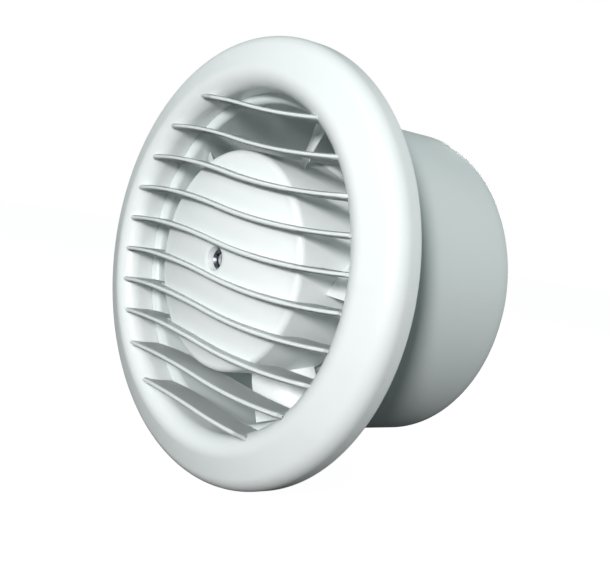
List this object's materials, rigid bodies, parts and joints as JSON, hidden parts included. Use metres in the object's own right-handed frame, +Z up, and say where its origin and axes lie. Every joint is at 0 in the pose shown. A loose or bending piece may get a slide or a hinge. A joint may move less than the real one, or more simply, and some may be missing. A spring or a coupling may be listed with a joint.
{
  "type": "ceiling exhaust fan",
  "caption": "Round duct-mounted ceiling extractor fan: a domed louvred cover over an axial impeller, on a short duct spigot that holds the motor.",
  "frame": {"origin": "on the fan's axis, in the plane of the mounting ring's back face, where the spigot begins", "axes": "+Y along the axis into the duct, -Y towards the room, +Z up in the picture, the louvres run along X; for a ceiling, turn +Y to point up"},
  "size_m": [0.133, 0.0765, 0.133],
  "materials": {
    "cover_plastic": "smooth, half gloss",
    "housing_plastic": "smooth, half gloss",
    "impeller_plastic": "smooth, half gloss",
    "support_plastic": "satin moulded",
    "spring_steel": "blued spring steel",
    "shaft_steel": "ground",
    "rotor_steel": "turned laminations with cast end rings",
    "washer_fibre": "pressed fibre",
    "lamination_steel": "varnished laminations",
    "copper": "drawn copper",
    "bobbin_nylon": "moulded nylon",
    "coil_copper": "enamelled wire",
    "bracket_alloy": "die cast",
    "bush_bronze": "sintered",
    "screw_steel": "zinc plated",
    "block_nylon": "moulded nylon",
    "terminal_brass": "plated brass",
    "lead_insulation": "sleeved lead",
    "grommet_rubber": "soft rubber"
  },
  "bodies": {
    "fan_base": {"mounting_ring": "housing_plastic", "duct_tube": "housing_plastic", "motor_cup": "support_plastic", "support_struts": "housing_plastic", "stator_core": "lamination_steel", "shading_rings": "copper", "coil_bobbin": "bobbin_nylon", "coil_winding": "coil_copper", "front_bracket": "bracket_alloy", "rear_bracket": "bracket_alloy", "front_bush": "bush_bronze", "rear_bush": "bush_bronze", "motor_screws": "screw_steel", "motor_nuts": "screw_steel", "motor_cover": "support_plastic", "cover_screws": "screw_steel", "terminal_block": "block_nylon", "terminal_screws": "terminal_brass", "block_screw": "screw_steel", "cable_clamp": "block_nylon", "clamp_screws": "screw_steel", "motor_leads": "lead_insulation", "cable_grommet": "grommet_rubber"},
    "impeller_rotor": {"impeller_hub": "impeller_plastic", "impeller_blades": "impeller_plastic", "impeller_clip": "spring_steel", "motor_shaft": "shaft_steel", "rotor_core": "rotor_steel", "shaft_washers": "washer_fibre"},
    "cover": {"cover_bezel": "cover_plastic", "cover_louvres": "cover_plastic"}
  },
  "joints": [
    {"name": "impeller_spin", "type": "hinge", "parent": "fan_base", "child": "impeller_rotor", "pos_m": [0, 0, 0], "axis": [0, 1, 0], "continuous": true},
    {"name": "cover_release", "type": "slide", "parent": "fan_base", "child": "cover", "axis": [0, -1, 0], "range_m": [0, 0.04]}
  ]
}
